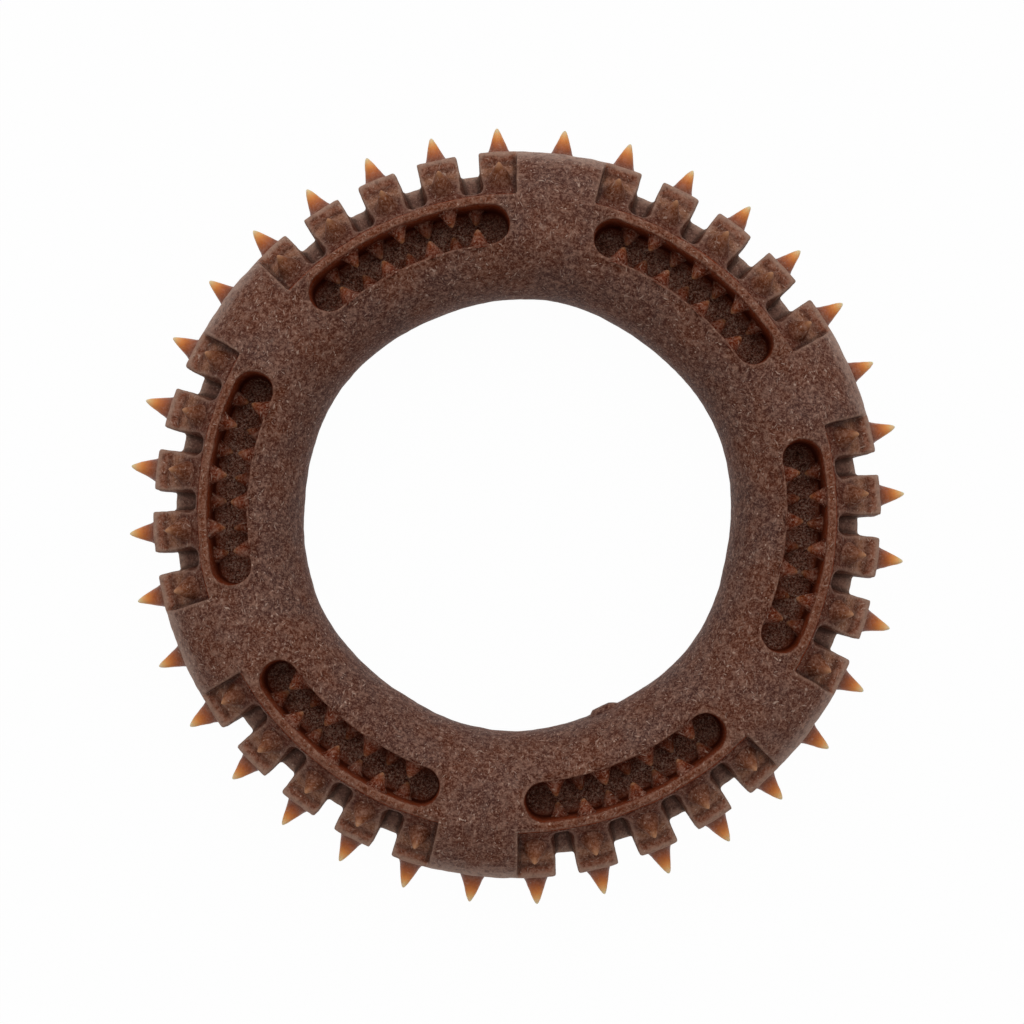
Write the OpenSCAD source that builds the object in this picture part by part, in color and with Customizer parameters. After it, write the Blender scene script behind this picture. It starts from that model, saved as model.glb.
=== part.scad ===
// Rubber chew ring: a thick moulded ring with six toothed slots in each face,
// six banks of tread blocks round the outside, and a spike on every block and bridge.
// Millimetres, +Z up, origin on the surface that it lies on, under the centre of the hole.
// The first slot and its bank of blocks lie on +X, and the first bridge follows half a sector on.

/* [Ring] */
// Diameter of the hole through the ring
hole_d = 66.5; // [58:0.5:76]
// Diameter of the tube that the ring is bent from, measured upright before its flats are cut
tube_d = 23.2; // [22:0.1:26]
// Width of that tube across the ring, the same as its diameter where the tube is round
tube_w = 23.2; // [22:0.1:26]
// Depth that each of the two flats is cut into the tube
flat_cut = 0.3; // [0.1:0.05:0.8]
// Depth that the outer face is cut into the tube
face_cut = 0.65; // [0.3:0.05:1.7]

/* [Slots] */
// Number of slots in each face, with a bridge between each two
slot_count = 6; // [4:1:7]
// Width of a slot
slot_w = 6.1; // [5.6:0.1:6.6]
// Web left between the slot in one face and the slot in the other
slot_web_t = 4.8; // [3:0.2:6]
// How far the slots' centre line lies inside the tube's
slot_offset = 0.9; // [0.4:0.05:1.4]
// Wall between the end of a slot and the bridge beside it
slot_end_t = 1.0; // [0.8:0.05:2]
// Wall between a slot and the tread
lip_t = 1.3; // [0.9:0.05:1.6]
// Wall between a slot and the plain inner ring
liner_t = 1.25; // [0.8:0.05:1.8]

/* [Tread] */
// Number of blocks in a bank
block_count = 5; // [3:2:5]
// Width of a block at the mid-plane
block_w = 6.2; // [5.7:0.05:6.7]
// Width of a block at the top of its shoulder
block_top_w = 4.7; // [3.8:0.1:5]
// From the centre of a bank's last block to the bridge, along the outer face
block_to_bridge = 2.8; // [2.45:0.05:2.85]
// Height of a block's outer face
face_h = 8.6; // [6:0.2:10]
// Depth of the flat step behind a block's outer face
face_run = 1.9; // [1.2:0.1:2.6]
// How far the top of a block's shoulder lies under the ring's flat
shoulder_drop = 1.9; // [1:0.1:3]
// Ledge along the lip at the top of the shoulders
ledge_w = 0.45; // [0.3:0.05:0.8]
// How far the web between two blocks is set back from their faces
web_setback = 3.35; // [2.7:0.05:4.1]
// Height of that web at its outer edge
web_edge_h = 5.4; // [4:0.2:6]
// Height of that web at the foot of the ledge
web_root_h = 8.4; // [7:0.2:11]

/* [Spikes] */
// Diameter of a rim spike above its foot
rim_spike_d = 3.5; // [2.6:0.1:4]
// Length of a rim spike beyond the tread's face
rim_spike_len = 4.2; // [3:0.05:5.5]
// Diameter of a shoulder spike above its foot
shoulder_spike_d = 3.0; // [2.2:0.1:3.2]
// Length of a shoulder spike
shoulder_spike_len = 3.4; // [2:0.1:4]
// Diameter of a slot tooth above its foot
tooth_d = 2.7; // [1.9:0.1:2.8]
// Length of a slot tooth
tooth_len = 2.6; // [1.6:0.1:3]
// Depth of the upper row of teeth under the ring's flat
upper_row_depth = 2.4; // [2.2:0.1:2.8]
// Depth of the lower row of teeth under the ring's flat
lower_row_depth = 6.2; // [5.6:0.1:7]

/* [Hidden] */
// Sides of the large rounds and of the small spikes
$fn = 180;
spike_sides = 60;
// Overrun of every cut past the face that it opens
overrun = 1;
// Flared foot and blunt nose that all spikes and teeth share
foot_flare = 0.35;
foot_h = 0.4;
nose_d = 0.5;
nose_h = 0.15;
// Place of a shoulder spike down the slope of its block
spike_down_slope_share = 0.42;

hole_r = hole_d / 2;
tube_mid_r = hole_r + tube_w / 2;
tread_r = hole_r + tube_w - face_cut;
flat_z = tube_d / 2 - flat_cut;
ring_h = flat_z * 2;

slot_mid_r = tube_mid_r - slot_offset;
slot_in_r = slot_mid_r - slot_w / 2;
slot_out_r = slot_mid_r + slot_w / 2;
liner_in_r = slot_in_r - liner_t;
lip_out_r = slot_out_r + lip_t;

ledge_r = lip_out_r + ledge_w;
web_r = tread_r - web_setback;
crease_r = tread_r - face_run;
shoulder_z = flat_z - shoulder_drop;
slope_a = atan2(shoulder_z - face_h / 2, crease_r - ledge_r);

sector_a = 360 / slot_count;
pitch_a = sector_a / (block_count + 1);
last_block_a = pitch_a * (block_count - 1) / 2;
bank_half_a = last_block_a + asin(block_to_bridge / tread_r);
bridge_half_a = sector_a / 2 - bank_half_a;
slot_half_a = bank_half_a - asin((slot_end_t + slot_w / 2) / slot_mid_r);
last_tooth = (block_count + 1) / 2;

sectors = [for (i = [1:slot_count]) i];

// Moves a part modelled about the ring's middle to its sector, and up to stand on z = 0
module in_sector(i) {
    translate([0, 0, flat_z])
        rotate([0, 0, sector_a * (i - 1)])
            children();
}

// Repeats a part at every block of a bank
module at_blocks() {
    for (k = [0:block_count - 1])
        rotate([0, 0, pitch_a * k - last_block_a])
            children();
}

// Turns an outline drawn in radius and height through the angles on each side of +X
module turned(half_a) {
    rotate([0, 0, -half_a])
        rotate_extrude(angle = half_a * 2)
            children();
}

// Section of the plain ring between two radii: a round tube with its flats and its outer face
module tube_section(from_r, to_r) {
    intersection() {
        translate([tube_mid_r, 0])
            scale([tube_w / tube_d, 1])
                circle(d = tube_d);
        translate([from_r, -flat_z])
            square([to_r - from_r, ring_h]);
    }
}

// Section of a tread block: two sloping shoulders and a stepped outer face
module block_section() {
    polygon([
        [lip_out_r, -shoulder_z],
        [ledge_r, -shoulder_z],
        [crease_r, -face_h / 2],
        [tread_r, -face_h / 2],
        [tread_r, face_h / 2],
        [crease_r, face_h / 2],
        [ledge_r, shoulder_z],
        [lip_out_r, shoulder_z]
    ]);
}

// Section of the web between two blocks, with the ledge that backs the lip
module web_section() {
    polygon([
        [lip_out_r, -shoulder_z],
        [ledge_r, -shoulder_z],
        [ledge_r, -web_root_h / 2],
        [web_r, -web_edge_h / 2],
        [web_r, web_edge_h / 2],
        [ledge_r, web_root_h / 2],
        [ledge_r, shoulder_z],
        [lip_out_r, shoulder_z]
    ]);
}

// Front of a block, with the draft that lets it out of the mould on both sides of the mid-plane
module block_front() {
    top_z = shoulder_z + overrun;
    top_w = block_w - (block_w - block_top_w) * top_z / shoulder_z;
    polygon([
        [-top_w / 2, -top_z],
        [top_w / 2, -top_z],
        [block_w / 2, 0],
        [top_w / 2, top_z],
        [-top_w / 2, top_z],
        [-block_w / 2, 0]
    ]);
}

// Runs a front, drawn across and up, outwards through the whole depth of the tread
module through_tread() {
    translate([lip_out_r - overrun, 0, 0])
        rotate([90, 0, 90])
            linear_extrude(tread_r - lip_out_r + overrun * 2)
                children();
}

// Room of all the blocks of a bank, where the last ones run full width into the bridges
module block_rooms() {
    at_blocks()
        through_tread()
            block_front();
    for (side = [-1, 1])
        rotate([0, 0, side * last_block_a])
            through_tread()
                translate([side * block_w / 4, 0])
                    square([block_w / 2, ring_h], center = true);
}

// A spike with a flared foot and a blunt nose, with a stub below z = 0 that its seat trims off
module spike(d, len) {
    rotate_extrude($fn = spike_sides)
        polygon([
            [0, -overrun],
            [d / 2 + foot_flare, -overrun],
            [d / 2 + foot_flare, 0],
            [d / 2, foot_h],
            [nose_d / 2, len - nose_h],
            [0, len]
        ]);
}

// Hollow of one slot, open upwards: an arc with round ends
module slot_hollow() {
    slot_top = flat_z + overrun;
    turned(slot_half_a)
        translate([slot_in_r, slot_web_t / 2])
            square([slot_w, slot_top - slot_web_t / 2]);
    for (side = [-1, 1])
        rotate([0, 0, side * slot_half_a])
            translate([slot_mid_r, 0, slot_web_t / 2])
                cylinder(d = slot_w, h = slot_top - slot_web_t / 2);
}

// Plain inner ring round the hole
module inner_ring() {
    color("#5f4338")
        translate([0, 0, flat_z])
            rotate_extrude()
                tube_section(hole_r, liner_in_r);
}

// Smooth bridge of the tube's full section between two banks
module bridge(i) {
    color("#60443a")
        in_sector(i + 0.5)
            turned(bridge_half_a)
                tube_section(liner_in_r, tread_r);
}

// Segment of the tube with a slot sunk in each face and a web between them
module slot_segment(i) {
    color("#4d2f26")
        in_sector(i)
            difference() {
                turned(bank_half_a)
                    tube_section(liner_in_r, lip_out_r);
                slot_hollow();
                mirror([0, 0, 1])
                    slot_hollow();
            }
}

// Tooth on the outer wall of a slot, pointing at the hole
module outer_tooth(z) {
    intersection() {
        translate([slot_out_r, 0, z])
            rotate([0, -90, 0])
                spike(tooth_d, tooth_len);
        cylinder(r = slot_out_r, h = ring_h, center = true);
    }
}

// Tooth on the inner wall of a slot, pointing at the tread
module inner_tooth(z) {
    difference() {
        translate([slot_in_r, 0, z])
            rotate([0, 90, 0])
                spike(tooth_d, tooth_len);
        cylinder(r = slot_in_r, h = ring_h, center = true);
    }
}

// Teeth of a segment's two slots: each wall's rows alternate, high where the facing wall's are low
module slot_teeth(i) {
    upper_z = flat_z - upper_row_depth;
    lower_z = flat_z - lower_row_depth;
    color("#6b3a22")
        in_sector(i)
            for (k = [-last_tooth:last_tooth], side = [-1, 1])
                rotate([0, 0, k * pitch_a / 2]) {
                    outer_tooth(side * (k % 2 == 0 ? upper_z : lower_z));
                    inner_tooth(side * (k % 2 == 0 ? lower_z : upper_z));
                }
}

// Bank of tread blocks on one segment
module tread_blocks(i) {
    color("#563a30")
        in_sector(i)
            intersection() {
                turned(bank_half_a)
                    block_section();
                block_rooms();
            }
}

// Webs and ledge between the blocks of one bank
module tread_webs(i) {
    color("#3f2a23")
        in_sector(i)
            difference() {
                turned(bank_half_a)
                    web_section();
                block_rooms();
            }
}

// A rim spike, seated on the round outer face
module rim_spike() {
    difference() {
        translate([tread_r, 0, 0])
            rotate([0, 90, 0])
                spike(rim_spike_d, rim_spike_len);
        cylinder(r = tread_r, h = ring_h, center = true);
    }
}

// Rim spikes of one sector: one on each block, and one on the bridge that follows
module rim_spikes(i) {
    color("#b5713f")
        in_sector(i) {
            at_blocks()
                rim_spike();
            rotate([0, 0, sector_a / 2])
                rim_spike();
        }
}

// A spike that stands square on the slope of a block
module shoulder_spike() {
    difference() {
        translate([
            ledge_r + spike_down_slope_share * (crease_r - ledge_r),
            0,
            shoulder_z - spike_down_slope_share * (shoulder_z - face_h / 2)
        ])
            rotate([0, slope_a, 0])
                spike(shoulder_spike_d, shoulder_spike_len);
        turned(pitch_a / 2)
            block_section();
    }
}

// Shoulder spikes of one bank, on both faces of the ring
module shoulder_spikes(i) {
    color("#8a4c2b")
        in_sector(i)
            at_blocks()
                for (side = [0, 1])
                    mirror([0, 0, side])
                        shoulder_spike();
}

inner_ring();
for (i = sectors) {
    bridge(i);
    slot_segment(i);
    slot_teeth(i);
    tread_blocks(i);
    tread_webs(i);
    rim_spikes(i);
    shoulder_spikes(i);
}
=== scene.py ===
# Moulded rubber chew ring, seen from straight above on a white sweep.
# The ring is modelled in millimetres about its own middle plane, then brought to the frame in metres.
import math
import random
import bpy
import numpy
from mathutils import Matrix, Vector


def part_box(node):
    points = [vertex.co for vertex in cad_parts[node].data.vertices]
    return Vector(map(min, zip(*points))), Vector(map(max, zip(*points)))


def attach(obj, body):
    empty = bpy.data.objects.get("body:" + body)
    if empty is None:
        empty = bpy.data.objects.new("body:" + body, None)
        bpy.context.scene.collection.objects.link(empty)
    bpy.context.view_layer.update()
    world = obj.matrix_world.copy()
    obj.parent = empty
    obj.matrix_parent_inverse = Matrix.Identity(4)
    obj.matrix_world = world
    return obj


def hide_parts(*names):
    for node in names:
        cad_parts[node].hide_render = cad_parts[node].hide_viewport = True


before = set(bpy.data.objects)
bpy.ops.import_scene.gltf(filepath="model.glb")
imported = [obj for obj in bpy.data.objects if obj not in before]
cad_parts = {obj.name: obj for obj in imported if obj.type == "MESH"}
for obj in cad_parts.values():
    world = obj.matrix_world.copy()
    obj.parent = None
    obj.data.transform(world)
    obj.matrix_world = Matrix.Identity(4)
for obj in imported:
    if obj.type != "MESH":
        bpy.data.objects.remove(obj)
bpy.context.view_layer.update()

mm = 0.001
sectorCount = 6
sectors = range(1, sectorCount + 1)
sectorA = math.radians(360 / sectorCount)

# What the frame gives, in millimetres
def radii(name):
    return [v.co.xy.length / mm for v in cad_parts[name].data.vertices]


low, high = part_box("bridge_2")
midZ = (low.z + high.z) / 2 / mm
halfH = (high.z - low.z) / 2 / mm
holeR = min(radii("inner_ring"))
linerR = max(radii("inner_ring"))
slotInR = min(radii("slot_teeth_1"))
slotOutR = max(radii("slot_teeth_1"))
lipR = min(radii("tread_webs_1"))
treadR = max(radii("bridge_2"))

ring = {
    "flatCut": 0.3,          # flats cut into the round tube
    "arcSteps": 30,          # over the top of the tube
    "quarterSteps": 44,      # steps of the spin round one quarter of a sector
    "linerSteps": 360,       # and round the plain inner ring
    "weld": 0.0005,          # points nearer than this are merged
    "cutWeld": 0.00001,      # and so are those beside a cut
    "voxel": 0.23,           # grain of the remesh that rounds every edge
    "smoothing": 7,          # passes of smoothing after it
    "faceGain": 0.16,        # what the smoothing takes off the outer face again
    "lumpDepth": 0.11,       # how far the moulding wanders
    "lumpSize": 7.0,
    "dentDepth": 0.09,       # and its smaller dents
    "dentSize": 2.0,
    "sinkDepth": 0.27,       # the hole is this much narrower at the slots and wider at the bridges
    "sinkFrom": 36.0,        # radius up to which the skin moves in full
    "sinkTo": 42.0,          # and from which it stays
    "smoothAngle": 50,       # degrees, over which an edge stays sharp
}
tubeR = halfH + ring["flatCut"]
tubeMidR = holeR + tubeR


def dropSelection():
    if bpy.context.object and bpy.context.object.mode != "OBJECT":
        bpy.ops.object.mode_set(mode="OBJECT")
    bpy.ops.object.select_all(action="DESELECT")


def pick(*pieces):
    dropSelection()
    for piece in pieces:
        piece.select_set(True)
    bpy.context.view_layer.objects.active = pieces[0]


def drawOutline(name, corners, fill=True):
    # draws a chain of points in the XZ plane by extruding one vertex
    dropSelection()
    bpy.ops.mesh.primitive_plane_add(size=1)
    piece = bpy.context.object
    piece.name = piece.data.name = name
    bpy.ops.object.mode_set(mode="EDIT")
    bpy.ops.mesh.merge(type="CENTER")
    bpy.ops.transform.translate(value=(corners[0][0], 0, corners[0][1]))
    for start, end in zip(corners, corners[1:]):
        step = (end[0] - start[0], 0, end[1] - start[1])
        bpy.ops.mesh.extrude_region_move(TRANSFORM_OT_translate={"value": step})
    bpy.ops.mesh.select_all(action="SELECT")
    if fill:
        bpy.ops.mesh.edge_face_add()
    return piece


def spinOutline(piece, fromA, toA, steps):
    # a negative angle turns the outline towards +Y
    bpy.ops.mesh.spin(steps=steps, angle=fromA - toA, center=(0, 0, 0), axis=(0, 0, 1))
    bpy.ops.mesh.select_all(action="SELECT")
    bpy.ops.mesh.remove_doubles(threshold=ring["weld"])
    bpy.ops.mesh.normals_make_consistent(inside=False)
    turnPiece(piece, fromA)
    return piece


def turnPiece(piece, angle):
    pick(piece)
    piece.rotation_euler.z = angle
    bpy.ops.object.transform_apply(location=False, rotation=True, scale=False)


def copyPiece(piece, name):
    pick(piece)
    bpy.ops.object.duplicate()
    copy = bpy.context.object
    copy.name = copy.data.name = name
    return copy


def useModifier(piece, kind, **settings):
    pick(piece)
    bpy.ops.object.modifier_add(type=kind)
    modifier = piece.modifiers[-1]
    for key, value in settings.items():
        setattr(modifier, key, value)
    bpy.ops.object.modifier_apply(modifier=modifier.name)


def cutPiece(piece, cutter, keepOutside=True):
    operation = "DIFFERENCE" if keepOutside else "INTERSECT"
    useModifier(piece, "BOOLEAN", operation=operation, solver="MANIFOLD", object=cutter)
    bpy.data.objects.remove(cutter)


def sliceOff(piece, normal):
    # keeps the side of a plane through the axis that the normal points to
    pick(piece)
    bpy.ops.object.mode_set(mode="EDIT")
    bpy.ops.mesh.select_all(action="SELECT")
    bpy.ops.mesh.bisect(plane_co=(0, 0, 0), plane_no=normal, clear_inner=True, threshold=ring["cutWeld"])
    bpy.ops.object.mode_set(mode="OBJECT")


def tubeHeight(radius):
    # height of the tube's skin over its middle plane
    rise = math.sqrt(max(tubeR ** 2 - (radius - tubeMidR) ** 2, 0))
    return min(rise, halfH)


def tubeTop(fromR, toR, count):
    # points over the top of the tube, closer together where it turns down
    first = math.acos(max(-1, (fromR - tubeMidR) / tubeR))
    last = math.acos(min(1, (toR - tubeMidR) / tubeR))
    turns = [first + (last - first) * i / count for i in range(count + 1)]
    reaches = [tubeMidR + tubeR * math.cos(a) for a in turns]
    return [(r, tubeHeight(r)) for r in reaches]


# One quarter of a sector: half a bank and half a bridge, upper side
slot = {
    "webHalf": 2.4,          # half the web between the two slots
    "halfA": math.radians(17.61),  # turn of the round end's middle from the slot's middle
    "draft": math.tan(math.radians(3)),
    "steps": 26,
    "endSides": 48,
}
tread = {
    "ledgeR": lipR + 0.45,   # where the shoulder's top ends
    "creaseR": treadR - 1.9,  # where its slope ends in the step behind the face
    "webR": treadR - 3.35,   # outer edge of the webs
    "shoulderDrop": 1.9,     # of the shoulder's top under the ring's flat
    "faceHalf": 4.3,         # half the height of a block's outer face
    "blockW": 6.2,           # up to the height of its face
    "blockTopW": 4.7,        # at the top of its shoulder
    "pitchA": math.radians(10),
    "toBridge": 2.8,         # from the middle of a bank's last block to the bridge
    "webRoot": 4.2,          # half the height of a web at the ledge
    "webEdge": 2.7,          # and at its outer edge
    "gulletRound": 1.5,      # how far the rounded corners of a gullet's root reach outwards
    "gulletCorner": 0.85,    # and the share of its half width that they take
    "cornerSteps": 6,
    "steps": 40,
}
bankHalfA = 2 * tread["pitchA"] + math.asin(tread["toBridge"] / treadR)
shoulderZ = halfH - tread["shoulderDrop"]
over = 2.0                   # run of every cutter past the skin
cutterTop = halfH + over
margin = math.radians(3)     # run of the quarter past its mirror planes
cutMargin = 1.5 * margin     # and of the cutters, which have to reach further


def cutSlot(quarter):
    # drafted walls and a round end
    floorZ = slot["webHalf"]
    flare = slot["draft"] * over
    lean = slot["draft"] * (cutterTop - floorZ)
    outline = [
        (slotInR - flare + lean, floorZ),
        (slotOutR + flare - lean, floorZ),
        (slotOutR + flare, cutterTop),
        (slotInR - flare, cutterTop),
    ]
    cutter = drawOutline("slotCutter", outline)
    spinOutline(cutter, -cutMargin, slot["halfA"], slot["steps"])
    cutPiece(quarter, cutter)
    middleR = (slotInR + slotOutR) / 2
    endR = (slotOutR - slotInR) / 2 + flare
    endX = middleR * math.cos(slot["halfA"])
    endY = middleR * math.sin(slot["halfA"])
    dropSelection()
    bpy.ops.mesh.primitive_cone_add(
        vertices=slot["endSides"], radius1=endR - lean, radius2=endR, depth=cutterTop - floorZ,
        location=(endX, endY, (cutterTop + floorZ) / 2),
    )
    cutPiece(quarter, bpy.context.object)


def cutTread(quarter):
    # the step down from the lip out to the blocks' faces, then the gullets between the blocks
    outline = [
        (lipR, shoulderZ),
        (tread["ledgeR"], shoulderZ),
        (tread["creaseR"], tread["faceHalf"]),
        (treadR + over, tread["faceHalf"]),
        (treadR + over, cutterTop),
        (lipR, cutterTop),
    ]
    cutter = drawOutline("stepCutter", outline)
    spinOutline(cutter, -cutMargin, bankHalfA, tread["steps"])
    cutPiece(quarter, cutter)
    rootEnd = tread["webR"] + over / 4  # a little past the mouth's start, so that no skin is left
    for gap in (0.5, 1.5):
        root = makeGulletCutter("rootCutter", tread["ledgeR"], rootEnd, tread["webRoot"], tread["webEdge"])
        mouth = makeGulletCutter("mouthCutter", tread["webR"], treadR + over, -over, -over)
        for cutter in (root, mouth):
            turnPiece(cutter, gap * tread["pitchA"])
            cutPiece(quarter, cutter)


def makeQuarter():
    faceR = treadR + ring["faceGain"]
    inR = linerR - over
    corners = [(inR, -over), *tubeTop(inR, faceR, ring["arcSteps"]), (faceR, -over)]
    quarter = drawOutline("sectorQuarter", corners)
    spinOutline(quarter, -margin, sectorA / 2 + margin, ring["quarterSteps"])
    cutSlot(quarter)
    cutTread(quarter)
    useModifier(quarter, "REMESH", mode="VOXEL", voxel_size=ring["voxel"], use_smooth_shade=True)
    useModifier(quarter, "SMOOTH", factor=0.5, iterations=ring["smoothing"])
    return quarter


def gulletHalf(x, z):
    # half the room between two blocks, whose sides lean in from the face's height to the shoulder's top
    half = tread["pitchA"] / 2
    rise = max(0, (z - tread["faceHalf"]) / (shoulderZ - tread["faceHalf"]))
    blockHalf = (tread["blockW"] - rise * (tread["blockW"] - tread["blockTopW"])) / 2
    return (x * math.sin(half) - blockHalf) / math.cos(half)


def makeGulletCutter(name, inR, outR, inZ, outZ):
    # a cube from -1 to 1 is drawn out to the room between two blocks
    dropSelection()
    bpy.ops.mesh.primitive_cube_add(size=2)
    cutter = bpy.context.object
    cutter.name = cutter.data.name = name
    corners = [v.co.copy() for v in cutter.data.vertices]
    for v in cutter.data.vertices:
        v.select = False
    for face in cutter.data.polygons:
        face.select = False
    for edge in cutter.data.edges:
        ends = [corners[i] for i in edge.vertices]
        edge.select = ends[0].x < 0 and ends[1].x < 0 and ends[0].y == ends[1].y
    bpy.ops.object.mode_set(mode="EDIT")
    bpy.ops.mesh.select_mode(type="EDGE")
    if inZ > 0:
        # the root has round corners, the open mouth hasn't
        bpy.ops.mesh.bevel(offset=tread["gulletCorner"], segments=tread["cornerSteps"], affect="EDGES")
    bpy.ops.mesh.select_mode(type="VERT")
    bpy.ops.mesh.select_all(action="SELECT")
    bpy.ops.mesh.bisect(plane_co=(0, 0, 0), plane_no=(0, 0, 1))
    bpy.ops.object.mode_set(mode="OBJECT")
    for v in cutter.data.vertices:
        atMouth = v.co.x > 0.9
        x = outR if atMouth else inR + (v.co.x + 1) * tread["gulletRound"]
        z = tread["faceHalf"]
        if v.co.z > 0.5:
            z = cutterTop
        elif v.co.z < -0.5:
            z = inZ + (outZ - inZ) * (x - inR) / (outR - inR)
        v.co = (x, v.co.y * gulletHalf(x, z), z)
    return cutter


def wedge(name, inR, outR, fromA, toA):
    # keeps one part of the quarter; it has one step for each degree
    outline = [(inR, -over), (outR, -over), (outR, cutterTop), (inR, cutterTop)]
    steps = round(math.degrees(toA - fromA))
    return spinOutline(drawOutline(name, outline), fromA, toA, steps)


def mirrorPiece(piece, side):
    # what lies to +Y or to -Y, above the middle plane, is kept and mirrored both ways
    sliceOff(piece, (0, side, 0))
    sliceOff(piece, (0, 0, 1))
    useModifier(piece, "MIRROR", use_axis=(False, True, True), merge_threshold=ring["weld"])


def share(value):
    return max(0.0, min(1.0, value))


def addLayer(mesh, name, values):
    layer = mesh.attributes.new(name, "FLOAT", "POINT")
    layer.data.foreach_set("value", values)


def markWearAndShade(piece):
    # how far a spot stands out from the spots round it: edges are rubbed pale and take a painted
    # highlight, creases take painted shade
    mesh = piece.data
    spots = numpy.empty(len(mesh.vertices) * 3)
    mesh.vertices.foreach_get("co", spots)
    spots = spots.reshape(-1, 3)
    outward = numpy.empty(len(mesh.vertices) * 3)
    mesh.vertices.foreach_get("normal", outward)
    outward = outward.reshape(-1, 3)
    ends = numpy.empty(len(mesh.edges) * 2, dtype=int)
    mesh.edges.foreach_get("vertices", ends)
    ends = ends.reshape(-1, 2)
    ends = numpy.concatenate([ends, ends[:, ::-1]])
    count = numpy.bincount(ends[:, 0], minlength=len(spots))

    def around(values):
        return numpy.bincount(ends[:, 0], values[ends[:, 1]], len(spots)) / count

    beside = numpy.stack([around(spots[:, axis]) for axis in range(3)], axis=1)
    wear = ((spots - beside) * outward).sum(axis=1) / wearAndPaintedLight["fullStep"]
    for _ in range(wearAndPaintedLight["spread"]):
        wear = (wear + around(wear)) / 2
    addLayer(mesh, "wear", numpy.clip(wear, -1, 1))


def markSlot(piece):
    # the lip beside the slot is thin, so light comes through it; the walls take a painted red glow and
    # painted shade towards the floor
    thin, wall, foot, floor = [], [], [], []
    for v in piece.data.vertices:
        r = v.co.xy.length
        depth = tubeHeight(r) - abs(v.co.z)
        past = math.degrees(abs(math.atan2(v.co.y, v.co.x)) - slot["halfA"])
        thin.append(share((r - slotOutR) / wearAndPaintedLight["thinRun"] + 1) * share(1 - past / wearAndPaintedLight["thinEnd"]))
        bottom = share((depth - wearAndPaintedLight["floorAt"]) / wearAndPaintedLight["wallRun"])
        edge = share(1 - min(r - slotInR, slotOutR - r) / wearAndPaintedLight["edgeRun"])
        side = share(depth / wearAndPaintedLight["wallRun"]) * (1 - bottom)
        floor.append(bottom * (1 - edge))
        wall.append(side + bottom * edge)
        foot.append(side * share((depth - wearAndPaintedLight["footFrom"]) / wearAndPaintedLight["footRun"]))
    addLayer(piece.data, "thin", thin)
    addLayer(piece.data, "wall", wall)
    addLayer(piece.data, "foot", foot)
    addLayer(piece.data, "floor", floor)


def markTread(piece, feet):
    # painted shade lies round the foot of each shoulder spike; the webs grow paler towards their edge,
    # part rubbed wear and part painted light, and the outer corners of the blocks are rubbed pale and
    # painted with a highlight
    wear = piece.data.attributes["wear"].data
    foot, floor, rubbed = [], [], []
    for v in piece.data.vertices:
        near = min((v.co - spot).length for spot in feet)
        foot.append(share((wearAndPaintedLight["shadeTo"] - near) / wearAndPaintedLight["shadeRun"]))
        r = v.co.xy.length
        web = share((tread["faceHalf"] - abs(v.co.z)) / wearAndPaintedLight["webRise"])
        web *= share((tread["webR"] - r) / wearAndPaintedLight["webRise"] + 1)
        rub = share(1 - (tread["webR"] - r) / wearAndPaintedLight["webRun"])
        floor.append(web * (wearAndPaintedLight["webInner"] + (1 - wearAndPaintedLight["webInner"]) * rub))
        rubbed.append(wear[v.index].value * share((r - tread["webR"]) / wearAndPaintedLight["webRise"] + 1))
    addLayer(piece.data, "foot", foot)
    addLayer(piece.data, "floor", floor)
    addLayer(piece.data, "rubbed", rubbed)


# wear, and the painted glow and painted shade, laid on by the shape
wearAndPaintedLight = {
    # in mm where nothing else is said
    "fullStep": 0.022,       # how far a spot on a moulded edge stands out
    "spread": 3,             # passes that even it out
    "thinRun": 0.5,          # in which the lip's glow comes in
    "thinEnd": 2.5,          # degrees past the slot's end where it is gone
    "wallRun": 1.1,          # of depth in which the wall's painted glow comes and goes
    "footFrom": 1.2,         # depth from which painted shade darkens the wall
    "footRun": 5.0,
    "floorAt": 7.9,          # depth at which the floor begins
    "edgeRun": 2.0,          # from a wall in which the floor takes its colour
    "shadeTo": 2.7,          # reach of the painted shade from the middle of a spike's foot
    "shadeRun": 0.9,
    "webRise": 0.4,          # in which a web's colour and a block's rubbed, highlit edges come in
    "webRun": 1.15,          # from its edge in which a web pales
    "webInner": 0.28,         # share of its paleness further in
}
quarter = makeQuarter()
markWearAndShade(quarter)
print("sector quarter", len(quarter.data.polygons), "faces")

seam = {
    # where the quarter is parted into a slot segment, a tread bank and a bridge
    "pastLip": 0.22,
    "beforeBridge": math.radians(0.17),
}
splitR = lipR + seam["pastLip"]
splitA = bankHalfA - seam["beforeBridge"]
slotSegment = copyPiece(quarter, "slotSegment")
cutPiece(slotSegment, wedge("segmentWedge", linerR, splitR, -margin / 2, splitA), keepOutside=False)
mirrorPiece(slotSegment, 1)
treadBank = copyPiece(quarter, "treadBank")
cutPiece(treadBank, wedge("bankWedge", splitR, treadR + over, -margin / 2, splitA), keepOutside=False)
mirrorPiece(treadBank, 1)
bridge = quarter
bridge.name = bridge.data.name = "bridge"
bridgeWedge = wedge("bridgeWedge", linerR, treadR + over, splitA, sectorA / 2 + margin / 2)
cutPiece(bridge, bridgeWedge, keepOutside=False)
turnPiece(bridge, -sectorA / 2)
mirrorPiece(bridge, -1)
markSlot(slotSegment)
for piece in (slotSegment, treadBank, bridge):
    print(piece.name, len(piece.data.polygons), "faces")


# Inner ring, spun in one piece
def makeInnerRing():
    first = math.acos((linerR - tubeMidR) / tubeR)
    count = ring["arcSteps"] * 2
    turns = [first + (2 * math.pi - 2 * first) * i / count for i in range(count + 1)]
    corners = [(tubeMidR + tubeR * math.cos(a), tubeR * math.sin(a)) for a in turns]
    piece = drawOutline("innerRing", [*corners, corners[0]], fill=False)
    return spinOutline(piece, 0, 2 * math.pi, ring["linerSteps"])


innerRing = makeInnerRing()
print("inner ring", len(innerRing.data.polygons), "faces")


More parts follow.
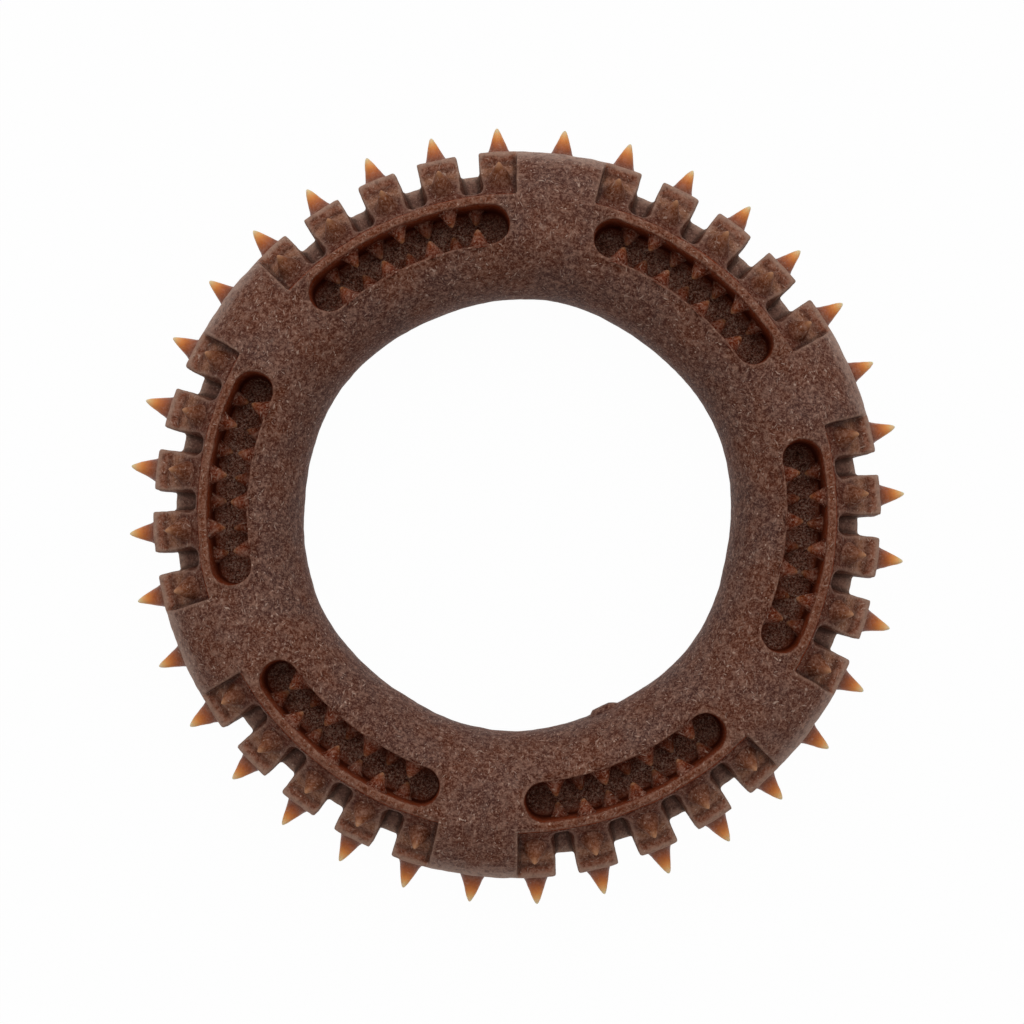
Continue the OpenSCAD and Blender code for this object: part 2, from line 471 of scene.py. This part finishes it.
# Spikes and teeth, each spun from the outline of its flared foot and rounded point
rimSpike = {
    "profile": [
        (2.25, -0.2), (2.05, 0.05), (1.86, 0.35), (1.72, 0.6), (1.53, 0.97), (1.3, 1.63), (1.05, 2.28),
        (0.82, 2.92), (0.56, 3.57), (0.34, 4.02), (0.22, 4.21), (0.1, 4.32), (0, 4.35),
    ],
    "sides": 22,
    "tilt": 1.2,             # degrees that a spike may lean, as moulded
    "growth": 0.03,          # share of its size by which it may be larger or smaller
}
shoulderSpike = {
    "profile": [
        (2.1, -0.35), (1.82, 0.02), (1.62, 0.4), (1.4, 0.95), (1.13, 1.6), (0.82, 2.2), (0.5, 2.78),
        (0.26, 3.18), (0.12, 3.35), (0, 3.4),
    ],
    "sides": 20,
    "tilt": 2.0,
    "growth": 0.04,
    "downShare": 0.42,       # place of its foot down the slope
}
slotTooth = {
    "profile": [
        (2.3, -0.4), (1.85, 0.02), (1.52, 0.35), (1.24, 0.8), (0.95, 1.4), (0.62, 2.0), (0.34, 2.4),
        (0.14, 2.56), (0, 2.6),
    ],
    "sides": 16,
    "tilt": 3.0,
    "growth": 0.06,
    "upperDrop": 2.4,        # depth of the upper row under the ring's flat
    "lowerDrop": 6.2,
    "last": 3,               # teeth on each side of the middle one
}
wander = random.Random(7)


def makeSpike(name, spec):
    piece = drawOutline(name, spec["profile"], fill=False)
    spinOutline(piece, 0, 2 * math.pi, spec["sides"])
    length = spec["profile"][-1][1]
    addLayer(piece.data, "reach", [share(v.co.z / length) for v in piece.data.vertices])
    return piece


def standSpike(master, spec, foot, lean, turn):
    # lean tips the spike from upright towards +X, turn carries it round the ring
    spike = copyPiece(master, "spike")
    size = 1 + wander.uniform(-spec["growth"], spec["growth"])
    sway = math.radians(spec["tilt"])
    place = (
        Matrix.Rotation(turn, 4, "Z")
        @ Matrix.Translation(foot)
        @ Matrix.Rotation(lean + wander.uniform(-sway, sway), 4, "Y")
        @ Matrix.Rotation(wander.uniform(-sway, sway), 4, "X")
        @ Matrix.Rotation(wander.uniform(0, math.pi), 4, "Z")
        @ Matrix.Diagonal((size, size, size, 1))
    )
    spike.data.transform(place)
    return spike


def joinPieces(pieces, name):
    pick(*pieces)
    bpy.ops.object.join()
    bpy.context.object.name = bpy.context.object.data.name = name
    return bpy.context.object


slopeA = math.atan2(shoulderZ - tread["faceHalf"], tread["creaseR"] - tread["ledgeR"])
downShare = shoulderSpike["downShare"]
shoulderFootR = tread["ledgeR"] + downShare * (tread["creaseR"] - tread["ledgeR"])
shoulderFootZ = shoulderZ - downShare * (shoulderZ - tread["faceHalf"])
rimMaster = makeSpike("rimMaster", rimSpike)
shoulderMaster = makeSpike("shoulderMaster", shoulderSpike)
toothMaster = makeSpike("toothMaster", slotTooth)
blockTurns = [k * tread["pitchA"] for k in range(-2, 3)]
markTread(treadBank, [
    Vector((shoulderFootR * math.cos(a), shoulderFootR * math.sin(a), side * shoulderFootZ))
    for a in blockTurns for side in (1, -1)
])


def makeRimSpikes(i, turn):
    spikes = [
        standSpike(rimMaster, rimSpike, (treadR, 0, 0), math.pi / 2, turn + a)
        for a in [*blockTurns, sectorA / 2]
    ]
    return joinPieces(spikes, f"rimSpikes{i}")


def makeShoulderSpikes(i, turn):
    upper = ((shoulderFootR, 0, shoulderFootZ), slopeA)
    lower = ((shoulderFootR, 0, -shoulderFootZ), math.pi - slopeA)
    spikes = [
        standSpike(shoulderMaster, shoulderSpike, foot, lean, turn + a)
        for a in blockTurns for foot, lean in (upper, lower)
    ]
    return joinPieces(spikes, f"shoulderSpikes{i}")


def makeSlotTeeth(i, turn):
    upper = halfH - slotTooth["upperDrop"]
    lower = halfH - slotTooth["lowerDrop"]
    teeth = []
    for k in range(-slotTooth["last"], slotTooth["last"] + 1):
        a = turn + k * tread["pitchA"] / 2
        outZ, inZ = (upper, lower) if k % 2 == 0 else (lower, upper)
        for side in (1, -1):
            outFoot = (slotOutR, 0, side * outZ)
            inFoot = (slotInR, 0, side * inZ)
            teeth.append(standSpike(toothMaster, slotTooth, outFoot, -math.pi / 2, a))
            teeth.append(standSpike(toothMaster, slotTooth, inFoot, math.pi / 2, a))
    return joinPieces(teeth, f"slotTeeth{i}")


finished = [(innerRing, "body_rubber", ["inner_ring"])]
for i in sectors:
    turn = sectorA * (i - 1)
    segment = copyPiece(slotSegment, f"slotSegment{i}")
    turnPiece(segment, turn)
    bank = copyPiece(treadBank, f"treadBank{i}")
    turnPiece(bank, turn)
    span = copyPiece(bridge, f"bridge{i}")
    turnPiece(span, turn + sectorA / 2)
    finished += [
        (segment, "body_rubber", [f"slot_segment_{i}"]),
        (bank, "body_rubber", [f"tread_blocks_{i}", f"tread_webs_{i}"]),
        (span, "body_rubber", [f"bridge_{i}"]),
        (makeSlotTeeth(i, turn), "spike_rubber", [f"slot_teeth_{i}"]),
        (makeRimSpikes(i, turn), "spike_rubber", [f"rim_spikes_{i}"]),
        (makeShoulderSpikes(i, turn), "spike_rubber", [f"shoulder_spikes_{i}"]),
    ]
for spare in (slotSegment, treadBank, bridge, rimMaster, shoulderMaster, toothMaster):
    bpy.data.objects.remove(spare)
print("pieces placed", len(finished))


# The moulding's wander, and the way to the frame
unevenness = []
for depth, size in ((ring["lumpDepth"], ring["lumpSize"]), (ring["dentDepth"], ring["dentSize"])):
    clouds = bpy.data.textures.new("unevenness", "CLOUDS")
    clouds.noise_scale = size
    clouds.noise_depth = 1
    clouds.cloud_type = "COLOR"
    unevenness.append((clouds, depth))

tab = {
    # a nub of flash left on the wall of the hole
    "turn": math.radians(-59.2),
    "halfWidth": 1.9,
    "halfHeight": 2.2,
    "rise": 0.6,
    "edge": 0.7,             # run in which it rises from the wall
    "reach": 3.0,            # only skin this near the hole's edge is moved
}


def raiseTab(piece):
    for v in piece.data.vertices:
        r = v.co.xy.length
        if r > holeR + tab["reach"]:
            continue
        a = math.atan2(v.co.y, v.co.x)
        beside = (tab["halfWidth"] - abs(a - tab["turn"]) * r) / tab["edge"] + 0.5
        upDown = (tab["halfHeight"] - abs(v.co.z)) / tab["edge"] + 0.5
        move = -tab["rise"] * share(beside) * share(upDown)
        v.co.x += move * math.cos(a)
        v.co.y += move * math.sin(a)


def shapeHole(piece):
    # the hole is a little narrower at the slots and wider at the bridges
    for v in piece.data.vertices:
        r = v.co.xy.length
        fade = share((ring["sinkTo"] - r) / (ring["sinkTo"] - ring["sinkFrom"]))
        a = math.atan2(v.co.y, v.co.x)
        eased = fade * fade * (3 - 2 * fade)
        move = -ring["sinkDepth"] * math.cos(sectorCount * a) * eased
        v.co.x += move * math.cos(a)
        v.co.y += move * math.sin(a)


for piece, slotName, nodeNames in finished:
    if piece.name.startswith(("innerRing", "slotSegment", "bridge")):
        shapeHole(piece)
    if piece == innerRing:
        raiseTab(piece)
    for clouds, depth in unevenness:
        # the clouds swing by half to each side of their middle
        useModifier(
            piece, "DISPLACE", texture=clouds, texture_coords="GLOBAL",
            direction="RGB_TO_XYZ", strength=depth * 2, mid_level=0.5,
        )
    piece.data.transform(Matrix.Translation((0, 0, midZ * mm)) @ Matrix.Scale(mm, 4))
    pick(piece)
    bpy.ops.object.shade_smooth_by_angle(angle=math.radians(ring["smoothAngle"]))
    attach(piece, "root")
    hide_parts(*nodeNames)
triangles = [sum(len(p.vertices) - 2 for p in piece.data.polygons) for piece, _, _ in finished]
print("triangles", sum(triangles), "most in one piece", max(triangles))


# Materials
def linear(hexColour):
    # a screen colour as the linear values that shaders take
    values = [int(hexColour[i:i + 2], 16) / 255 for i in (1, 3, 5)]
    return [v / 12.92 if v <= 0.04045 else ((v + 0.055) / 1.055) ** 2.4 for v in values] + [1]


def emptyTree(owner):
    owner.use_nodes = True
    owner.node_tree.nodes.clear()
    return owner.node_tree


def addNode(tree, kind, settings, links=()):
    # settings are inputs by name or number, properties, or the stops of a ramp
    node = tree.nodes.new(kind)
    for key, value in settings.items():
        if key == "stops":
            stops = node.color_ramp.elements
            while len(stops) < len(value):
                stops.new(0.5)
            for stop, (place, colour) in zip(stops, value):
                stop.position = place
                stop.color = colour
        elif isinstance(key, int) or key in node.inputs:
            node.inputs[key].default_value = value
        else:
            setattr(node, key, value)
    for key, source in links:
        tree.links.new(source, node.inputs[key])
    return node


rubber = {
    # natural rubber filled with ground plant fibre, compression moulded: a hazy brown skin, matt,
    # with pale and dark grains and flat pale fibres lying every way; all sizes are in mm
    "warm": "#65331f",
    "haze": "#593a33",
    "hazeSize": 2.2,
    "hazeNoise": {"Detail": 3.0, "Roughness": 0.65},
    "patchSize": 8.0,        # the haze lies in wider patches too
    "patchNoise": {"Detail": 1.0},
    "warmTo": 0.40,          # mean of the two noises up to which the skin is warm
    "hazeFrom": 0.60,        # and from which it is all haze
    "grainDark": "#300c04",
    "grainPale": "#a87f6c",
    "grains": [(1.1, 0.45, 0.6), (0.5, 0.45, 0.7), (0.26, 0.35, 0.65)],  # size, dark share, pale share
    "grainNoise": {"Detail": 1.0, "Roughness": 0.7},
    "darkEnds": (0.52, 0.25),  # values of the noise where the grains begin and are full
    "paleEnds": (0.50, 0.77),
    "flake": "#d3b4a2",
    "flakes": [
        # size of the cells, half sizes of the fibre in each, share
        (1.3, (0.62, 0.5, 0.075), 0.75),
        (0.7, (0.33, 0.28, 0.06), 0.75),
        (0.9, (0.17, 0.14, 0.11), 1.0),
    ],
    "flakeEnds": (1.15, 0.5),  # in half sizes from its middle, where a fibre begins and is full
    "flakeRarity": 2.0,      # the higher, the fewer of the fibres lie right at the skin
    "bend": 0.2,             # how far the fibres are bent out of true
    "bendSize": 0.8,
    "bendNoise": {"Detail": 1.0},
    "rubbed": "#af8b78",     # moulded edges, rubbed pale and with a painted highlight
    # painted shade in creases and round the feet of the shoulder spikes
    "creaseShade": "#2a150c",
    "rim": "#c4a494",        # outermost edge: painted reflection of the white surroundings, with some pale haze
    "blockRimReflection": "#b1775a",   # painted reflection on a block's outer edge, warmer with painted light coming through it
    "rimStray": 3.2,         # how far the painted rim reflection wanders inwards and outwards
    "rimNoise": {"Detail": 4.0, "Roughness": 0.7},
    "shoulder": "#551f08",   # painted shade on the slope of a block near the lip
    "slope": "#ab7352",      # and towards the crease
    "pitShade": "#6d3a27",        # painted shade in the crease where the slope ends
    "step": "#8a4d34",       # flat step behind a block's face
    "web": "#c4a898",        # edge of a web between two blocks: part rubbed wear, part painted light
    "lip": "#7a3818",        # thin wall, with light coming through it
    "slotWallGlow": "#8b350d",    # wall of a slot, where no haze forms, painted with the red glow of light through and between its walls
    # painted shade towards the foot of a slot's wall
    "slotFootShade": "#511b08",
    "slotFloor": "#873d1f",
    "speckPale": "#ceb4a2",  # the floor is rougher than the skin, its grains stand out more
    "speckDark": "#0e0402",
    "speckSize": 0.3,
    "speckNoise": {"Detail": 3.0, "Roughness": 0.9},
    "speckFrom": 0.51,       # value of the noise between the pale and the dark specks
    "speckFull": {"speckPale": 0.66, "speckDark": 0.38},
    "roughness": 0.6,
    "ior": 1.5,
    "shine": 0.12,           # dust in the pores dulls the skin
    "slotShine": 0.03,       # and the slots still more
    "bump": 0.09,
    "skinBump": 0.5,         # its strength on the skin
    "pointBump": 0.4,        # and on spikes and teeth
    "glowReach": 1.0,        # how far light travels inside a point
    "glowColours": (1.0, 0.45, 0.2),
    "clearFoot": 0.1,        # share of the flecks that is hidden even at the foot of a point
}
# the same rubber drawn to a point, where light comes through it amber and the tip is nearly clear
thinRim = {
    "stops": [
        (0.0, "#6d4029"), (0.14, "#8a4623"), (0.3, "#b05a28"), (0.46, "#cf7330"), (0.62, "#ee9446"),
        (0.78, "#fbb872"), (1.0, "#ffe4b6"),
    ],
    "flecks": 0.5,           # as a share of those in the skin
    "fade": (0.25, 0.8),     # share of the length over which the flecks sink out of sight
    "glow": 0.3,
    "roughness": 0.45,
    "shine": 0.3,
}
thinShoulder = {
    "stops": [(0.0, "#66341f"), (0.35, "#6d381d"), (0.7, "#864a28"), (1.0, "#c58d66")],
    "flecks": 0.8,
    "fade": (0.7, 1.2),
    "glow": 0.0,
    "roughness": 0.5,
    "shine": 0.12,
}
thinTooth = {
    "stops": [(0.0, "#602008"), (0.4, "#772c0e"), (0.8, "#8c4421"), (1.0, "#b07c55")],
    "flecks": 1.1,
    "fade": (0.7, 1.3),
    "glow": 0.0,
    "roughness": 0.5,
    "shine": 0.03,
}


def tint(tree, colour, measure, tone, start, end, most):
    # mixes a tone in while the measure goes from start to end
    cover = addNode(
        tree, "ShaderNodeMapRange",
        {"From Min": start, "From Max": end, "To Max": most},
        [("Value", measure)],
    )
    mixed = addNode(
        tree, "ShaderNodeMix",
        {"data_type": "RGBA", 7: linear(rubber[tone])},
        [(0, cover.outputs[0]), (6, colour)],
    )
    return mixed.outputs[2]


def addFlecks(tree, place, colour, amount):
    # dark and pale clumps and grains, then flat fibres, each turned its own way in its cell
    for size, dark, pale in rubber["grains"]:
        grain = addNode(
            tree, "ShaderNodeTexNoise",
            {"Scale": 1 / (size * mm), **rubber["grainNoise"]},
            [("Vector", place)],
        ).outputs["Fac"]
        colour = tint(tree, colour, grain, "grainDark", *rubber["darkEnds"], dark * amount)
        colour = tint(tree, colour, grain, "grainPale", *rubber["paleEnds"], pale * amount)
    bend = addNode(
        tree, "ShaderNodeTexNoise",
        {"Scale": 1 / (rubber["bendSize"] * mm), **rubber["bendNoise"]},
        [("Vector", place)],
    )
    bent = addNode(
        tree, "ShaderNodeVectorMath",
        {"operation": "MULTIPLY_ADD", 1: [rubber["bend"] * 2 * mm] * 3},
        [(0, bend.outputs["Color"]), (2, place)],
    ).outputs[0]
    for cellSize, halfSizes, most in rubber["flakes"]:
        cells = addNode(
            tree, "ShaderNodeTexVoronoi",
            {"Scale": 1 / (cellSize * mm)},
            [("Vector", bent)],
        )
        away = addNode(
            tree, "ShaderNodeVectorMath",
            {"operation": "SUBTRACT"},
            [(0, bent), (1, cells.outputs["Position"])],
        )
        turns = addNode(
            tree, "ShaderNodeVectorMath",
            {"operation": "SCALE", "Scale": 2 * math.pi},
            [(0, cells.outputs["Color"])],
        )
        laid = addNode(
            tree, "ShaderNodeVectorRotate",
            {"rotation_type": "EULER_XYZ"},
            [("Vector", away.outputs[0]), ("Rotation", turns.outputs[0])],
        )
        span = addNode(
            tree, "ShaderNodeVectorMath",
            {"operation": "MULTIPLY", 1: [1 / (half * mm) for half in halfSizes]},
            [(0, laid.outputs[0])],
        )
        span = addNode(tree, "ShaderNodeVectorMath", {"operation": "LENGTH"}, [(0, span.outputs[0])])
        start, end = rubber["flakeEnds"]
        inside = addNode(
            tree, "ShaderNodeMapRange",
            {"From Min": start, "From Max": end, "To Max": most * amount},
            [("Value", span.outputs["Value"])],
        )
        # only a few of the fibres lie right at the skin
        chance = addNode(tree, "ShaderNodeSeparateColor", {}, [("Color", cells.outputs["Color"])])
        chance = addNode(
            tree, "ShaderNodeMath",
            {"operation": "POWER", 1: rubber["flakeRarity"]},
            [(0, chance.outputs["Green"])],
        )
        cover = addNode(
            tree, "ShaderNodeMath",
            {"operation": "MULTIPLY"},
            [(0, inside.outputs[0]), (1, chance.outputs[0])],
        )
        colour = addNode(
            tree, "ShaderNodeMix",
            {"data_type": "RGBA", 7: linear(rubber["flake"])},
            [(0, cover.outputs[0]), (6, colour)],
        ).outputs[2]
    return colour, grain


def skinTone(tree, place):
    # warm brown under a grey haze that lies in patches
    haze = addNode(
        tree, "ShaderNodeTexNoise",
        {"Scale": 1 / (rubber["hazeSize"] * mm), **rubber["hazeNoise"]},
        [("Vector", place)],
    )
    patch = addNode(
        tree, "ShaderNodeTexNoise",
        {"Scale": 1 / (rubber["patchSize"] * mm), **rubber["patchNoise"]},
        [("Vector", place)],
    )
    both = addNode(
        tree, "ShaderNodeMath",
        {"operation": "ADD"},
        [(0, haze.outputs["Fac"]), (1, patch.outputs["Fac"])],
    )
    mean = addNode(tree, "ShaderNodeMath", {"operation": "MULTIPLY", 1: 0.5}, [(0, both.outputs[0])])
    tones = [(rubber["warmTo"], linear(rubber["warm"])), (rubber["hazeFrom"], linear(rubber["haze"]))]
    skin = addNode(tree, "ShaderNodeValToRGB", {"stops": tones}, [("Fac", mean.outputs[0])])
    return skin.outputs["Color"]


def fleckedRubber(name, shine, under, over):
    # tints under and over the flecks: what each follows, its tone, where it starts and is full, its share
    material = bpy.data.materials.new(name)
    tree = emptyTree(material)
    place = addNode(tree, "ShaderNodeTexCoord", {}).outputs["Object"]
    measures = {
        layerName: addNode(tree, "ShaderNodeAttribute", {"attribute_name": layerName}).outputs["Fac"]
        for layerName in ("wear", "thin", "wall", "foot", "floor", "rubbed")
    }
    flat = addNode(tree, "ShaderNodeVectorMath", {"operation": "MULTIPLY", 1: (1, 1, 0)}, [(0, place)])
    radius = addNode(tree, "ShaderNodeVectorMath", {"operation": "LENGTH"}, [(0, flat.outputs[0])])
    measures["radius"] = radius.outputs["Value"]
    # a wandering radius that places the painted rim reflection
    stray = addNode(
        tree, "ShaderNodeTexNoise",
        {"Scale": 1 / (rubber["hazeSize"] * mm), **rubber["rimNoise"]},
        [("Vector", place)],
    )
    stray = addNode(tree, "ShaderNodeMath", {"operation": "SUBTRACT", 1: 0.5}, [(0, stray.outputs["Fac"])])
    measures["rim"] = addNode(
        tree, "ShaderNodeMath",
        {"operation": "MULTIPLY_ADD", 1: rubber["rimStray"] * mm},
        [(0, stray.outputs[0]), (2, measures["radius"])],
    ).outputs[0]

    def layTints(colour, tints):
        for measure, tone, start, end, most in tints:
            unit = mm if measure in ("radius", "rim") else 1
            colour = tint(tree, colour, measures[measure], tone, start * unit, end * unit, most)
        return colour

    colour = layTints(skinTone(tree, place), under)
    colour, grain = addFlecks(tree, place, colour, 1.0)
    rough = addNode(
        tree, "ShaderNodeTexNoise",
        {"Scale": 1 / (rubber["speckSize"] * mm), **rubber["speckNoise"]},
        [("Vector", place)],
    )
    for speck, full in rubber["speckFull"].items():
        shown = addNode(
            tree, "ShaderNodeMapRange",
            {"From Min": rubber["speckFrom"], "From Max": full},
            [("Value", rough.outputs["Fac"])],
        )
        measures[speck] = addNode(
            tree, "ShaderNodeMath",
            {"operation": "MULTIPLY"},
            [(0, shown.outputs[0]), (1, measures["floor"])],
        ).outputs[0]
    colour = layTints(colour, over)
    bump = addNode(
        tree, "ShaderNodeBump",
        {"Strength": rubber["skinBump"], "Distance": rubber["bump"] * mm},
        [("Height", grain)],
    )
    skin = addNode(
        tree, "ShaderNodeBsdfPrincipled",
        {"Roughness": rubber["roughness"], "IOR": rubber["ior"], "Specular IOR Level": shine},
        [("Base Color", colour), ("Normal", bump.outputs["Normal"])],
    )
    addNode(tree, "ShaderNodeOutputMaterial", {}, [("Surface", skin.outputs["BSDF"])])
    return material


def amberRubber(name, thin):
    material = bpy.data.materials.new(name)
    tree = emptyTree(material)
    place = addNode(tree, "ShaderNodeTexCoord", {}).outputs["Object"]
    reach = addNode(tree, "ShaderNodeAttribute", {"attribute_name": "reach"}).outputs["Fac"]
    tones = [(at, linear(tone)) for at, tone in thin["stops"]]
    amber = addNode(tree, "ShaderNodeValToRGB", {"stops": tones}, [("Fac", reach)]).outputs["Color"]
    flecked, grain = addFlecks(tree, place, amber, thin["flecks"])
    start, end = thin["fade"]
    plain = addNode(
        tree, "ShaderNodeMapRange",
        {"From Min": start, "From Max": end, "To Min": rubber["clearFoot"]},
        [("Value", reach)],
    )
    colour = addNode(
        tree, "ShaderNodeMix",
        {"data_type": "RGBA"},
        [(0, plain.outputs[0]), (6, flecked), (7, amber)],
    ).outputs[2]
    bump = addNode(
        tree, "ShaderNodeBump",
        {"Strength": rubber["pointBump"], "Distance": rubber["bump"] * mm},
        [("Height", grain)],
    )
    settings = {
        "Roughness": thin["roughness"],
        "IOR": rubber["ior"],
        "Specular IOR Level": thin["shine"],
        "Subsurface Weight": thin["glow"],
        "Subsurface Scale": rubber["glowReach"] * mm,
        "Subsurface Radius": rubber["glowColours"],
    }
    links = [("Base Color", colour), ("Normal", bump.outputs["Normal"])]
    skin = addNode(tree, "ShaderNodeBsdfPrincipled", settings, links)
    addNode(tree, "ShaderNodeOutputMaterial", {}, [("Surface", skin.outputs["BSDF"])])
    return material


creaseR = tread["creaseR"]
# pale on moulded edges, part rubbed wear and part painted highlight; painted shade in creases
edges = [
    ("wear", "rubbed", 0.1, 0.9, 0.4),
    ("wear", "creaseShade", -0.05, -0.5, 0.6),
]
skinRubber = fleckedRubber("fibreFilledRubber", rubber["shine"], [
    ("rim", "rim", treadR - 2.2, treadR + 0.2, 0.95),
], [
    ("rim", "rim", treadR - 1.0, treadR, 0.15),
    *edges,
])
# painted shade under the lip and in the crease, paler slope and step, painted reflection on the blocks'
# rims
treadRubber = fleckedRubber("fibreFilledRubberTread", rubber["shine"], [
    ("radius", "shoulder", creaseR - 1.7, creaseR - 3.3, 0.85),
    ("radius", "slope", creaseR - 2.9, creaseR - 1.3, 0.7),
    ("radius", "pitShade", creaseR - 1.0, creaseR - 0.3, 0.8),
    ("radius", "step", creaseR - 0.1, creaseR + 0.1, 0.9),
    ("rim", "blockRimReflection", treadR - 1.2, treadR - 0.1, 0.9),
    ("floor", "web", 0, 1, 0.95),
    ("rubbed", "rubbed", 0.1, 0.75, 0.9),
], [
    ("radius", "shoulder", creaseR - 1.7, creaseR - 3.7, 0.3),
    ("rim", "rim", treadR - 0.9, treadR, 0.15),
    # painted shade round the feet of the shoulder spikes
    ("foot", "creaseShade", 0, 1, 0.3),
    *edges,
])
# the lip's painted glow, the walls' painted red glow and painted shade towards their foot
slotRubber = fleckedRubber("fibreFilledRubberSlots", rubber["slotShine"], [
    ("thin", "lip", 0, 1, 0.8),
    ("floor", "slotFloor", 0, 1, 1),
    ("wall", "slotWallGlow", 0, 1, 0.9),
], [
    ("wear", "rubbed", 0.1, 0.9, 0.25),
    ("wall", "slotWallGlow", 0, 1, 0.55),
    ("foot", "slotFootShade", 0, 1, 0.9),
    ("speckPale", "speckPale", 0, 1, 0.8),
    ("speckDark", "speckDark", 0, 1, 0.95),
])
finishes = {
    "innerRing": skinRubber,
    "bridge": skinRubber,
    "treadBank": treadRubber,
    "slotSegment": slotRubber,
    "slotTeeth": amberRubber("thinRubberTeeth", thinTooth),
    "rimSpikes": amberRubber("thinRubberRim", thinRim),
    "shoulderSpikes": amberRubber("thinRubberShoulder", thinShoulder),
}
for piece, _, _ in finished:
    piece.data.materials.clear()
    piece.data.materials.append(finishes[piece.name.rstrip("0123456789")])
print("materials on", len(finished), "pieces")


# Floor, light and camera
def addSeenMask(tree):
    # 1 for what is seen straight, in a reflection or through something clear, and 0 for what only lights
    path = addNode(tree, "ShaderNodeLightPath", {})
    seen = path.outputs["Is Camera Ray"]
    for ray in ("Is Glossy Ray", "Is Transmission Ray"):
        links = [(0, seen), (1, path.outputs[ray])]
        seen = addNode(tree, "ShaderNodeMath", {"operation": "MAXIMUM"}, links).outputs[0]
    return seen


sweep = {
    "size": 4.0,
    "white": "#eeeeee",      # as it lights and takes shadows
    "clear": 0.98,           # share of plain white where it is seen
}
dropSelection()
bpy.ops.mesh.primitive_plane_add(size=sweep["size"])
floor = bpy.context.object
floor.name = "whiteSweep"
paper = bpy.data.materials.new("whitePaper")
tree = emptyTree(paper)
seen = addSeenMask(tree)
cover = addNode(tree, "ShaderNodeMath", {"operation": "MULTIPLY", 1: sweep["clear"]}, [(0, seen)])
matt = addNode(tree, "ShaderNodeBsdfDiffuse", {"Color": linear(sweep["white"])})
glow = addNode(tree, "ShaderNodeEmission", {"Color": (1, 1, 1, 1), "Strength": 1.0})
links = [(0, cover.outputs[0]), (1, matt.outputs[0]), (2, glow.outputs[0])]
mixed = addNode(tree, "ShaderNodeMixShader", {}, links)
addNode(tree, "ShaderNodeOutputMaterial", {}, [("Surface", mixed.outputs[0])])
floor.data.materials.append(paper)

studio = {
    "worldLevel": 0.34,      # of the light from all round
    "lampPower": 6.5,        # watts
    "lampSize": 1.3,         # metres
    "lampAt": (-0.06, 0.66, 1.0),
}
world = bpy.data.worlds.new("studio")
bpy.context.scene.world = world
tree = emptyTree(world)
seen = addSeenMask(tree)
dome = addNode(tree, "ShaderNodeBackground", {"Color": (1, 1, 1, 1), "Strength": studio["worldLevel"]})
clear = addNode(tree, "ShaderNodeBackground", {"Color": (1, 1, 1, 1), "Strength": 1.0})
mixed = addNode(tree, "ShaderNodeMixShader", {}, [(0, seen), (1, dome.outputs[0]), (2, clear.outputs[0])])
addNode(tree, "ShaderNodeOutputWorld", {}, [("Surface", mixed.outputs[0])])

dropSelection()
bpy.ops.object.light_add(type="AREA", location=studio["lampAt"])
lamp = bpy.context.object
lamp.name = "softbox"
lamp.data.size = studio["lampSize"]
lamp.data.energy = studio["lampPower"]
lamp.rotation_euler = (-Vector(studio["lampAt"])).to_track_quat("-Z", "Y").to_euler()

shot = {
    "height": 450.0,         # mm over the ring's middle plane
    "offset": 14.55,         # mm that the camera stands off the ring's axis
    "offsetA": math.radians(280.7),  # and the way that it lies
    "roll": math.radians(7.05),  # of the picture
    "width": 158.56,         # mm that the picture spans at the middle plane
    "centre": (517.2, 514.2),  # where the ring's middle falls in the picture
    "picture": 1024,
    "sensor": 36.0,
    "clipEnd": 20.0,         # metres
}
bpy.ops.object.camera_add()
camera = bpy.context.object
camera.name = "photoCamera"
target = Vector((0, 0, midZ)) * mm
offset = Vector((
    shot["offset"] * math.cos(shot["offsetA"]),
    shot["offset"] * math.sin(shot["offsetA"]),
    shot["height"],
))
eye = target + mm * offset
ahead = (target - eye).normalized()
up = Vector((-math.sin(shot["roll"]), math.cos(shot["roll"]), 0))
right = ahead.cross(up).normalized()
up = right.cross(ahead)
camera.matrix_world = Matrix.Translation(eye) @ Matrix((right, up, -ahead)).transposed().to_4x4()
camera.data.sensor_width = shot["sensor"]
camera.data.lens = shot["sensor"] * shot["height"] / shot["width"]
camera.data.shift_x = (shot["picture"] / 2 - shot["centre"][0]) / shot["picture"]
camera.data.shift_y = (shot["centre"][1] - shot["picture"] / 2) / shot["picture"]
camera.data.clip_end = shot["clipEnd"]
bpy.context.scene.camera = camera
bpy.context.scene.view_settings.view_transform = "Standard"
print("floor, light and camera set")

dropSelection()
